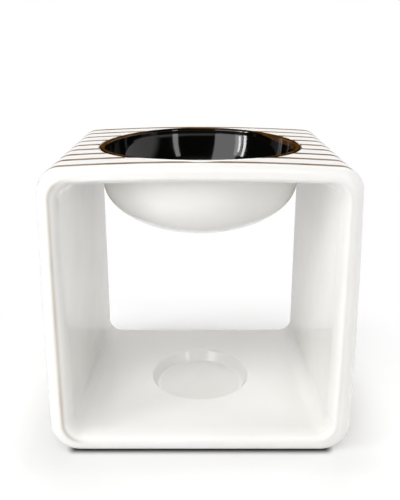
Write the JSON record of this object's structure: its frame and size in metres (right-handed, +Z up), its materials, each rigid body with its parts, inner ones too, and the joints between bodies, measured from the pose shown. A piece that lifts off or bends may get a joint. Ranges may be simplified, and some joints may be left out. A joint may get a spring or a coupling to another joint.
{
  "type": "aroma lamp",
  "caption": "White ceramic square-tube lamp on its side, with fine grooves round its top and sides, a tealight recess in its floor and a lift-out dish, black inside, in its top.",
  "frame": {"origin": "on the surface that the lamp stands on, below the middle of the lamp", "axes": "+Z up, -Y out of the open front, +Y out of the open back, +X to the right as seen from the front"},
  "size_m": [0.1216, 0.1, 0.1203],
  "materials": {
    "white_glaze": "gloss",
    "black_glaze": "gloss",
    "felt": "matte"
  },
  "bodies": {
    "lamp": {"body": "white_glaze", "foot_pad_front_left": "felt", "foot_pad_front_right": "felt", "foot_pad_back_left": "felt", "foot_pad_back_right": "felt"},
    "dish": {"dish": "black_glaze"}
  },
  "joints": [
    {"name": "dish_lift", "type": "slide", "parent": "lamp", "child": "dish", "axis": [0, 0, 1], "range_m": [0, 0.06]}
  ]
}
